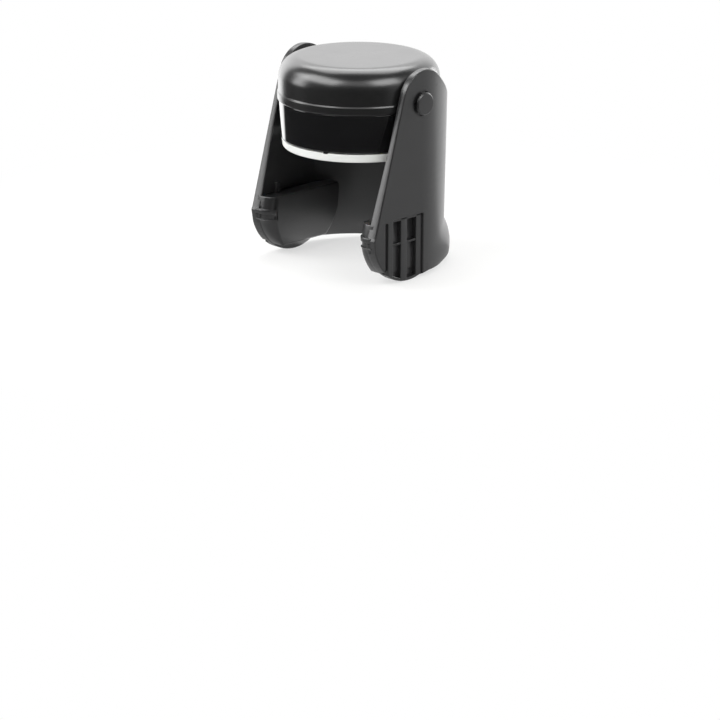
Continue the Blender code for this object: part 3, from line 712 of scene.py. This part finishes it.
def hookOutline(s, yokeShape):
    centre = yokeShape["padCentre"]
    rear = centre[0] + s["radius"]
    reach = sqrt(s["radius"] ** 2 - (s["foot"] - centre[1]) ** 2)
    points = [(rear, s["ledge"], s["rearRound"]), (s["ledgeFront"], s["ledge"], s["ledgeRound"])]
    points += s["frontSteps"]
    points += [point for point in padArc(yokeShape, s["arcFront"], centre[0] - reach, s["radius"])[:-1]
               if point[1] <= s["arcTop"]]
    points += [(centre[0] - reach, s["foot"], s["footRound"]), (centre[0] + reach, s["foot"], s["footRound"])]
    points += padArc(yokeShape, centre[0] + reach, rear - s["arcGap"], s["radius"])[1:]
    return points


def hookSpace(s, side):
    corner = s["cornerRadius"]

    def toSpace(y, z, level):
        lap = max(0.0, corner - level)
        setBack = corner - sqrt(max(0.0, corner ** 2 - lap ** 2))
        # the whole front, steps and all, runs round the corner and fades out behind it
        fade = within((s["front"] + 2 * corner - y) / (2 * corner))
        return Vector((side * withinWall(s["inner"] + level, y) * mm, (y + setBack * fade) * mm, z * mm))

    return toSpace


padSettings = {"inner": 18.8, "outer": 20.3, "round": 0.45, "cornerRound": 0.5, "arcGap": 0.02}
postSettings = {
    "inner": 18.5, "outer": 20.3, "round": 0.2, "front": -10.8, "back": -9.4, "top": -20.6, "low": -23.6,
    "topRound": 0.3,
}
grooveFloorSettings = {
    "inner": 20.2, "outer": 21.35, "round": 0.1, "front": -13.2, "back": -11.3, "top": -22.8,
    "frontLift": 0.3, "backDrop": 0.2,
}


def drillArms(shape, s):
    # a pin hole in each arm, with a shallow recess that leaves a dark ring round the pin's head
    plate = addObject("plateHolder", bpy.data.meshes.new("plateHolder"))
    shape.to_mesh(plate.data)
    tool = bmesh.new()
    profile = [(0, s["drillFrom"]), (s["pinHole"], s["drillFrom"]), (s["pinHole"], s["recessFloor"]),
               (s["recessRadius"], s["recessFloor"]), (s["recessRadius"], s["drillTo"]), (0, s["drillTo"])]
    for side in (1, -1):
        made = turnShell(tool, profile, s["drillSteps"], layAcross(side, s["pinHeight"]))
        bmesh.ops.recalc_face_normals(tool, faces=made)
    cutter = addObject("recessCutter", bpy.data.meshes.new("recessCutter"))
    tool.to_mesh(cutter.data)
    tool.free()
    cut = plate.modifiers.new("recess", "BOOLEAN")
    cut.operation = "DIFFERENCE"
    cut.solver = "EXACT"
    cut.object = cutter
    graph = bpy.context.evaluated_depsgraph_get()
    drilled = bpy.data.meshes.new_from_object(plate.evaluated_get(graph))
    shape.clear()
    shape.from_mesh(drilled)
    # a mesh takes its object with it
    for mesh in (plate.data, cutter.data, drilled):
        bpy.data.meshes.remove(mesh)


def makeYoke(s, hook, pad, post, groove):
    shape = bmesh.new()
    half = halfOutline(s)
    quarter = s["bend"] * pi / 2
    whole = half + [(2 * quarter - p[0], *p[1:]) for p in reversed(half)]
    alongCuts = [quarter * 2 * i / s["wallCuts"] for i in range(s["wallCuts"] + 1)]
    heightCuts = []
    for first, pitch, count in (s["plainCuts"], s["lipCuts"]):
        heightCuts += [first - pitch * i for i in range(count)]
    heightCuts += s["footCuts"]
    roundedPlate(shape, cleanLoop(filletPath(whole)), s["armOut"] - s["armIn"], s["innerRound"],
                 s["outerRound"], bendYoke(s), (alongCuts, heightCuts))
    drillArms(shape, s)
    rear = s["padCentre"][0] + s["padRadius"] - pad["arcGap"]
    padLoop = cleanLoop(filletPath([
        (s["front"], s["cornerDepth"], pad["cornerRound"]), *padArc(s, s["arcStart"], rear),
        (rear, s["cornerDepth"], pad["cornerRound"])]))
    hookLoop = cleanLoop(filletPath(hookOutline(hook, s)))
    levels = [hook["cornerRadius"] * (1 - cos(radians(a))) for a in range(*hook["levelAngles"])]
    postLoop = cleanLoop(filletPath([
        (post["front"], post["low"]), (post["back"], post["low"]),
        (post["back"], post["top"], post["topRound"]), (post["front"], post["top"], post["topRound"])]))
    low = -sqrt(s["padRadius"] ** 2 - (groove["front"] - s["padCentre"][0]) ** 2) + s["padCentre"][1]
    floorLoop = cleanLoop([
        (groove["front"], low + groove["frontLift"]), (groove["back"], low - groove["backDrop"]),
        (groove["back"], groove["top"]), (groove["front"], groove["top"])])
    for side in (1, -1):
        for loop, block in ((padLoop, pad), (hookLoop, hook), (postLoop, post), (floorLoop, groove)):
            toSpace = hookSpace(hook, side) if block is hook else sideways(block["inner"], side)
            roundedPlate(shape, loop, block["outer"] - block["inner"], block["round"],
                         plateSettings["sunkRound"], toSpace, levels=levels if block is hook else ())
    yoke = finishPiece("yokeMoulding", shape, s["sharp"], satinPolyamide)
    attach(yoke, "lever")
    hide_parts("yoke_lever")
    print("scene: yoke has", len(yoke.data.polygons), "faces")


makeYoke(yokeSettings, hookSettings, padSettings, postSettings, grooveFloorSettings)

print("scene: grip ribs")

# The ribs in the sunk field of each pad, under the names of the tree's inputs; lengths in millimetres
gripSettings = {
    "Rib Count": 2, "Rib Pitch": 5.3, "Rib Width": 2.2, "Rib Depth": 1.5, "Edge Round": 0.16,
    "First Rib Y": -5.7, "Rib Top Z": -22.9, "Base X": 19.9,
    "Foot Centre Y": -4.0, "Foot Centre Z": -26.6, "Foot Radius": 12.3,
}
edgeSteps = 4


def gripTree(settings, material):
    # Ribs stand side by side; each runs down to the pad's round foot
    tree = bpy.data.node_groups.new("gripRibs", "GeometryNodeTree")
    face = tree.interface
    face.new_socket(name="Geometry", in_out="OUTPUT", socket_type="NodeSocketGeometry")
    names = {}
    for name, value in settings.items():
        kind = "NodeSocketInt" if isinstance(value, int) else "NodeSocketFloat"
        names[name] = face.new_socket(name=name, in_out="INPUT", socket_type=kind).identifier
    given = addNode(tree, "NodeGroupInput").outputs
    spot = addNode(tree, "GeometryNodeInputPosition").outputs[0]
    parts = addNode(tree, "ShaderNodeSeparateXYZ", None, {0: spot}).outputs
    worked = {"Y": parts["Y"], "Z": parts["Z"], **{name: given[name] for name in settings}}
    for name, operation, first, second in (
            ("halfDepth", "MULTIPLY", "Rib Depth", 0.5),
            ("middleX", "ADD", "Base X", "halfDepth"),
            ("across", "SUBTRACT", "Y", "Foot Centre Y"),
            ("acrossSquared", "POWER", "across", 2.0),
            ("radiusSquared", "POWER", "Foot Radius", 2.0),
            ("dropSquared", "SUBTRACT", "radiusSquared", "acrossSquared"),
            ("drop", "SQRT", "dropSquared", 0.0),
            ("foot", "SUBTRACT", "Foot Centre Z", "drop"),
            ("length", "SUBTRACT", "Z", "foot")):
        worked[name] = addNode(tree, "ShaderNodeMath", {"operation": operation},
                               {0: worked[first], 1: worked.get(second, second)}).outputs[0]
    start = addNode(tree, "ShaderNodeCombineXYZ", None,
                    {"X": worked["middleX"], "Y": given["First Rib Y"], "Z": given["Rib Top Z"]}).outputs[0]
    pitch = addNode(tree, "ShaderNodeCombineXYZ", None, {"Y": given["Rib Pitch"]}).outputs[0]
    line = addNode(tree, "GeometryNodeMeshLine", {"mode": "OFFSET"},
                   {"Count": given["Rib Count"], "Start Location": start, "Offset": pitch}).outputs["Mesh"]
    section = addNode(tree, "GeometryNodeCurvePrimitiveQuadrilateral", {"mode": "RECTANGLE"},
                      {"Width": given["Rib Depth"], "Height": given["Rib Width"]}).outputs["Curve"]
    rounded = addNode(tree, "GeometryNodeFilletCurve", {"mode": "POLY"},
                      {"Curve": section, "Count": edgeSteps, "Radius": given["Edge Round"]}).outputs["Curve"]
    filled = addNode(tree, "GeometryNodeFillCurve", {"mode": "NGONS"}, {"Curve": rounded}).outputs["Mesh"]
    down = addNode(tree, "ShaderNodeCombineXYZ", None, {"Z": -1.0}).outputs[0]
    grown = addNode(tree, "GeometryNodeExtrudeMesh", {"mode": "FACES"},
                    {"Mesh": filled, "Offset": down, "Offset Scale": 1.0, "Individual": False})
    whole = addNode(tree, "GeometryNodeJoinGeometry")
    turned = addNode(tree, "GeometryNodeFlipFaces", None, {"Mesh": grown.outputs["Mesh"]}).outputs["Mesh"]
    tree.links.new(turned, whole.inputs[0])
    tree.links.new(filled, whole.inputs[0])
    solid = addNode(tree, "GeometryNodeMergeByDistance", None,
                    {"Geometry": whole.outputs[0], "Distance": 0.001 * mm}).outputs["Geometry"]
    size = addNode(tree, "ShaderNodeCombineXYZ", None, {"X": 1.0, "Y": 1.0, "Z": worked["length"]}).outputs[0]
    placed = addNode(tree, "GeometryNodeInstanceOnPoints", None,
                     {"Points": line, "Instance": solid, "Scale": size}).outputs["Instances"]
    real = addNode(tree, "GeometryNodeRealizeInstances", None, {"Geometry": placed}).outputs["Geometry"]
    clad = addNode(tree, "GeometryNodeSetMaterial", None, {"Geometry": real, "Material": material})
    addNode(tree, "NodeGroupOutput", None, {"Geometry": clad.outputs["Geometry"]})
    return tree, names


def makeRibs(settings, material):
    holder = addObject("gripHolder", bpy.data.meshes.new("gripHolder"))
    modifier = holder.modifiers.new("ribs", "NODES")
    modifier.node_group, names = gripTree(settings, material)
    for name, value in settings.items():
        modifier[names[name]] = value if isinstance(value, int) else value * mm
    graph = bpy.context.evaluated_depsgraph_get()
    mesh = bpy.data.meshes.new_from_object(holder.evaluated_get(graph))
    bpy.data.meshes.remove(holder.data)
    return mesh


# The cross bars over the ribs, and the round bar along the pad's foot
barSettings = {
    "front": -10.1, "back": 0.9, "base": 19.9, "topBar": (-22.5, -23.45), "topFace": 21.4,
    "middleBar": (-28.9, -29.5), "middleFace": 21.3, "footInner": 11.7, "footFace": 21.35, "round": 0.22,
    "leastStraight": 0.01, "leastCurved": 0.02, "sharp": 45,
}


def makeGrip(settings, bars, yokeShape):
    shape = bmesh.new()
    ribs = makeRibs(settings, satinPolyamide)
    shape.from_mesh(ribs)
    bpy.data.meshes.remove(ribs)
    front, back, sunk = bars["front"], bars["back"], plateSettings["sunkRound"]
    toPlace = sideways(bars["base"], 1)
    for (top, low), face in ((bars["topBar"], bars["topFace"]), (bars["middleBar"], bars["middleFace"])):
        loop = cleanLoop([(front, low), (back, low), (back, top), (front, top)], bars["leastStraight"])
        roundedPlate(shape, loop, face - bars["base"], sunk, bars["round"], toPlace)
    inner = padArc(yokeShape, front, back, bars["footInner"])
    loop = cleanLoop(padArc(yokeShape, front, back) + inner[::-1], bars["leastCurved"])
    roundedPlate(shape, loop, bars["footFace"] - bars["base"], sunk, bars["round"], toPlace)
    # the left grip is the right one's mirror image
    verts, faces = len(shape.verts), len(shape.faces)
    bmesh.ops.duplicate(shape, geom=shape.verts[:] + shape.edges[:] + shape.faces[:])
    bmesh.ops.scale(shape, vec=(-1, 1, 1), verts=shape.verts[verts:])
    bmesh.ops.reverse_faces(shape, faces=shape.faces[faces:])
    grip = finishPiece("gripRibs", shape, bars["sharp"], satinPolyamide)
    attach(grip, "lever")


makeGrip(gripSettings, barSettings, yokeSettings)

print("scene: seal, carrier and spring")

springSettings = {
    "wire": 0.4, "low": 7.3, "high": 11.1, "lowRadius": 10.3, "highRadius": 6.2, "turns": 3.5,
    "pointsPerTurn": 24, "sides": 12, "fixedEnd": 11.5, "travel": 1.5, "sharp": 50,
}


def makeSpring(s):
    # a conical coil that nests as the seal is pressed up
    shape = bmesh.new()
    count = round(s["turns"] * s["pointsPerTurn"])
    rings = []
    for step in range(count + 1):
        share = step / count
        angle = 2 * pi * s["turns"] * share
        reach = s["lowRadius"] + (s["highRadius"] - s["lowRadius"]) * share
        height = s["low"] + (s["high"] - s["low"]) * share
        ring = []
        for side in range(s["sides"]):
            turn = 2 * pi * side / s["sides"]
            radius = (reach + s["wire"] * cos(turn)) * mm
            ring.append(shape.verts.new((radius * cos(angle), radius * sin(angle),
                                         (height + s["wire"] * sin(turn)) * mm)))
        rings.append(ring)
    for ring, after in zip(rings, rings[1:]):
        for side in range(s["sides"]):
            beside = (side + 1) % s["sides"]
            shape.faces.new([ring[side], after[side], after[beside], ring[beside]])
    shape.faces.new(rings[0])
    shape.faces.new(rings[-1][::-1])
    faceOutwards(shape)
    spring = finishPiece("conicalSpring", shape, s["sharp"], springWire)
    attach(spring, "cap")
    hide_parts("seal_spring")
    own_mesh(spring)


makeSpring(springSettings)

for node, material in (("seal_disc", whiteSilicone), ("seal_plunger", glossAbs)):
    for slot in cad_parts[node].material_slots:
        slot.material = material

print("scene: studio")

# What the part mirrors. An edge is where a tone starts and where it is full: a share of the direction,
# or for nearEdge and glowEdge the distance on the floor in millimetres
studioSettings = {
    "backEdge": (0.50, 0.61), "backLeft": 2.0, "leftEdge": (-0.6, -0.1), "lean": 0.186, "dark": 0.04,
    "side": 0.5, "sideEdge": (0.55, 0.9), "nearEdge": (70.0, 95.0), "nearTone": 0.45, "worldLight": 0.34,
    "floor": -39.15, "floorRadius": 900.0, "floorSteps": 96, "floorColour": "f4f4f2",
    "glowEdge": (45.0, 130.0), "glowLeast": 0.62,
}
smooth = {"interpolation_type": "SMOOTHSTEP"}


def studioTone(tree, direction, s):
    # how bright the surroundings are in a direction: white behind, pale at the right, dim elsewhere
    angle = radians(cameraSettings["sideAngle"])
    back = (-sin(angle), cos(angle), 0)
    right = (cos(angle), sin(angle), 0)
    toBack = addNode(tree, "ShaderNodeVectorMath", {"operation": "DOT_PRODUCT"}, {0: direction, 1: back})
    toRight = addNode(tree, "ShaderNodeVectorMath", {"operation": "DOT_PRODUCT"}, {0: direction, 1: right})
    lean = addNode(tree, "ShaderNodeMath", {"operation": "MULTIPLY_ADD"},
                   {0: toRight.outputs["Value"], 1: s["lean"], 2: toBack.outputs["Value"]})
    lift = addNode(tree, "ShaderNodeMapRange", smooth,
                   {"Value": toRight.outputs["Value"], "From Min": s["leftEdge"][0],
                    "From Max": s["leftEdge"][1], "To Min": s["backLeft"], "To Max": 1.0})
    white = addNode(tree, "ShaderNodeMapRange", smooth,
                    {"Value": lean.outputs[0], "From Min": s["backEdge"][0], "From Max": s["backEdge"][1],
                     "To Min": s["dark"], "To Max": lift.outputs["Result"]})
    pale = addNode(tree, "ShaderNodeMapRange", smooth,
                   {"Value": toRight.outputs["Value"], "From Min": s["sideEdge"][0],
                    "From Max": s["sideEdge"][1], "To Min": s["dark"], "To Max": s["side"]})
    most = addNode(tree, "ShaderNodeMath", {"operation": "MAXIMUM"},
                   {0: white.outputs["Result"], 1: pale.outputs["Result"]})
    return most.outputs[0]


def rayKinds(tree):
    # whether a ray is a mirrored one, and whether it is the camera's, straight or through something clear
    path = addNode(tree, "ShaderNodeLightPath").outputs
    seen = addNode(tree, "ShaderNodeMath", {"operation": "MAXIMUM"},
                   {0: path["Is Camera Ray"], 1: path["Is Transmission Ray"]}).outputs[0]
    return path["Is Glossy Ray"], seen


def makeWorld(s):
    world = bpy.data.worlds.new("studio")
    bpy.context.scene.world = world
    world.use_nodes = True
    tree = world.node_tree
    tree.nodes.clear()
    direction = addNode(tree, "ShaderNodeTexCoord").outputs["Generated"]
    tone = studioTone(tree, direction, s)
    glossy, seen = rayKinds(tree)
    lit = addNode(tree, "ShaderNodeMix", {"data_type": "FLOAT"},
                  {0: glossy, 2: s["worldLight"], 3: tone}).outputs[0]
    strength = addNode(tree, "ShaderNodeMix", {"data_type": "FLOAT"}, {0: seen, 2: lit, 3: 1.0}).outputs[0]
    white = addNode(tree, "ShaderNodeBackground", None, {"Color": (1, 1, 1, 1), "Strength": strength})
    addNode(tree, "ShaderNodeOutputWorld", None, {"Surface": white.outputs[0]})


def makeFloor(s):
    # white paper that takes shadows near the part, and glows to pure white further out
    shape = bmesh.new()
    bmesh.ops.create_circle(shape, cap_ends=True, segments=s["floorSteps"], radius=s["floorRadius"] * mm)
    bmesh.ops.translate(shape, vec=(0, 0, s["floor"] * mm), verts=shape.verts)
    mesh = bpy.data.meshes.new("paleFloor")
    shape.to_mesh(mesh)
    shape.free()
    material, tree = newMaterial("paleFloorPaper")
    tree.nodes.clear()
    place = addNode(tree, "ShaderNodeTexCoord").outputs["Object"]
    flat = addNode(tree, "ShaderNodeVectorMath", {"operation": "MULTIPLY"},
                   {0: place, 1: (1, 1, 0)}).outputs[0]
    direction = addNode(tree, "ShaderNodeVectorMath", {"operation": "NORMALIZE"}, {0: flat}).outputs[0]
    around = studioTone(tree, direction, s)
    away = addNode(tree, "ShaderNodeVectorMath", {"operation": "LENGTH"}, {0: flat}).outputs["Value"]
    close = addNode(tree, "ShaderNodeMapRange", smooth,
                    {"Value": away, "From Min": s["nearEdge"][0] * mm, "From Max": s["nearEdge"][1] * mm,
                     "To Min": s["nearTone"], "To Max": 0.0}).outputs["Result"]
    tone = addNode(tree, "ShaderNodeMath", {"operation": "MAXIMUM"}, {0: around, 1: close}).outputs[0]
    glossy, seen = rayKinds(tree)
    paper = addNode(tree, "ShaderNodeBsdfDiffuse", None, {"Color": hexColour(s["floorColour"])})
    glow = addNode(tree, "ShaderNodeEmission", None, {"Color": (1, 1, 1, 1), "Strength": 1.0})
    mirrored = addNode(tree, "ShaderNodeEmission", None, {"Color": (1, 1, 1, 1), "Strength": tone})
    share = addNode(tree, "ShaderNodeMapRange", smooth,
                    {"Value": away, "From Min": s["glowEdge"][0] * mm, "From Max": s["glowEdge"][1] * mm,
                     "To Min": s["glowLeast"], "To Max": 1.0})
    direct = addNode(tree, "ShaderNodeMixShader", None,
                     {0: share.outputs["Result"], 1: paper.outputs[0], 2: glow.outputs[0]})
    other = addNode(tree, "ShaderNodeMixShader", None,
                    {0: glossy, 1: paper.outputs[0], 2: mirrored.outputs[0]})
    whole = addNode(tree, "ShaderNodeMixShader", None, {0: seen, 1: other.outputs[0], 2: direct.outputs[0]})
    addNode(tree, "ShaderNodeOutputMaterial", None, {"Surface": whole.outputs[0]})
    mesh.materials.append(material)
    floor = addObject("paleFloor", mesh)


# Soft boxes: turn is degrees round from the camera, positive to its right; rise is degrees up
lampSettings = {
    "backPanel": {"turn": 180, "rise": 20, "away": 900, "wide": 900, "tall": 420, "tone": 0.15},
    "topBack": {"turn": 180, "rise": 60, "away": 800, "wide": 700, "tall": 560, "tone": 3.0},
    "frontLeft": {"turn": -67, "rise": 42, "away": 800, "wide": 780, "tall": 380, "tone": 4.4},
    "frontMiddle": {"turn": -5, "rise": 42, "away": 800, "wide": 860, "tall": 340, "tone": 0.9},
    "frontRight": {"turn": 46, "rise": 42, "away": 800, "wide": 480, "tall": 380, "tone": 4.4},
    "leftBox": {"turn": -94, "rise": 12, "away": 800, "wide": 300, "tall": 380, "tone": 3.8},
    "leftHigh": {"turn": -104, "rise": 33, "away": 800, "wide": 260, "tall": 220, "tone": 3.6},
    "rightBack": {"turn": 130, "rise": 7, "away": 900, "wide": 420, "tall": 320, "tone": 5.0},
}


def makeLamp(name, s):
    # tone is how bright the soft box looks, so its power follows from its area
    angle = radians(cameraSettings["sideAngle"] + s["turn"])
    rise = radians(s["rise"])
    outward = Vector((sin(angle) * cos(rise), -cos(angle) * cos(rise), sin(rise)))
    data = bpy.data.lights.new(name, "AREA")
    data.shape = "RECTANGLE"
    data.size = s["wide"] * mm
    data.size_y = s["tall"] * mm
    data.energy = s["tone"] * data.size * data.size_y * pi
    lamp = addObject(name, data)
    lamp.location = outward * s["away"] * mm
    lamp.rotation_euler = outward.to_track_quat("Z", "Y").to_euler()
    lamp.visible_camera = False


makeWorld(studioSettings)
makeFloor(studioSettings)
for lampName, lampLook in lampSettings.items():
    makeLamp(lampName, lampLook)
bpy.context.scene.view_settings.view_transform = "Standard"

print("scene: done")
